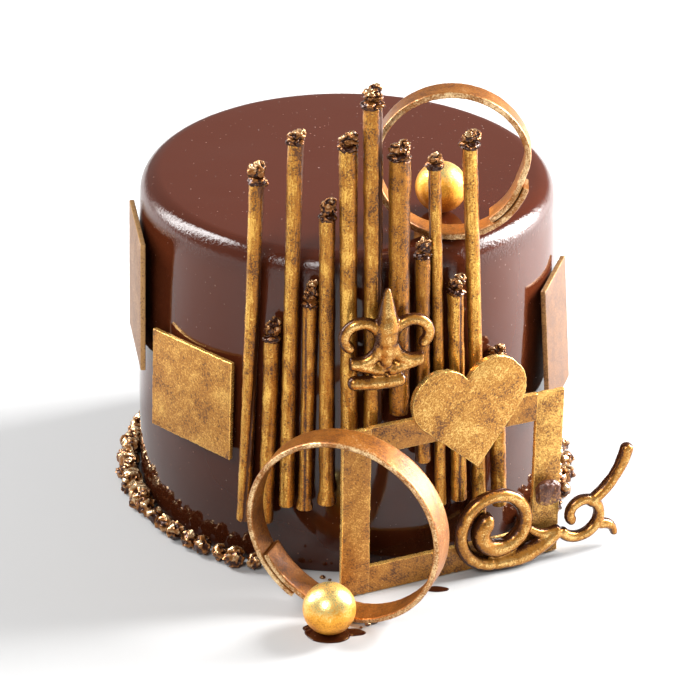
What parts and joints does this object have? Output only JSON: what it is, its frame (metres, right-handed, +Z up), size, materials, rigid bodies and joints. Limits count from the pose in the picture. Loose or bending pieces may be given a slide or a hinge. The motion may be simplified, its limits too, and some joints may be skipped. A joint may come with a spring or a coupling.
{
  "type": "decorated round chocolate cake",
  "caption": "Tall round glazed chocolate cake with rolled sticks, curled strips, plaques, a heart, piped scrolls and balls in gold-dusted chocolate, and a nugget border round its foot",
  "frame": {"origin": "on the cake's axis at its flat base, where it rests", "axes": "+Z up along the cake's axis; the decorated front faces -Y; +X is to the right seen from the front"},
  "size_m": [0.1978, 0.2175, 0.195],
  "materials": {
    "glaze": "mirror-gloss chocolate glaze",
    "stick_gold": "rolled chocolate brushed with gold dust",
    "plate_gold": "thin chocolate brushed with antique gold dust",
    "ball_gold": "chocolate ball in bright satin gold dust",
    "nugget": "rough chocolate nuggets touched with gold dust"
  },
  "bodies": {
    "root": {"cake": "glaze", "stick_01": "stick_gold", "stick_02": "stick_gold", "stick_03": "stick_gold", "stick_04": "stick_gold", "stick_05": "stick_gold", "stick_06": "stick_gold", "stick_07": "stick_gold", "stick_08": "stick_gold", "stick_09": "stick_gold", "stick_10": "stick_gold", "stick_11": "stick_gold", "stick_12": "stick_gold", "stick_13": "stick_gold", "tip_01": "nugget", "tip_02": "nugget", "tip_03": "nugget", "tip_04": "nugget", "tip_05": "nugget", "tip_06": "nugget", "tip_07": "nugget", "tip_08": "nugget", "tip_09": "nugget", "tip_10": "nugget", "tip_11": "nugget", "tip_12": "nugget", "tip_13": "nugget", "top_ring": "plate_gold", "top_ball": "ball_gold", "front_ring": "plate_gold", "front_ball": "ball_gold", "plaque_front_left": "plate_gold", "plaque_left": "plate_gold", "plaque_right": "plate_gold", "window_frame": "plate_gold", "heart": "plate_gold", "scroll_upper": "plate_gold", "scroll_lower": "plate_gold", "dab": "nugget", "nugget_border": "nugget"}
  },
  "joints": []
}
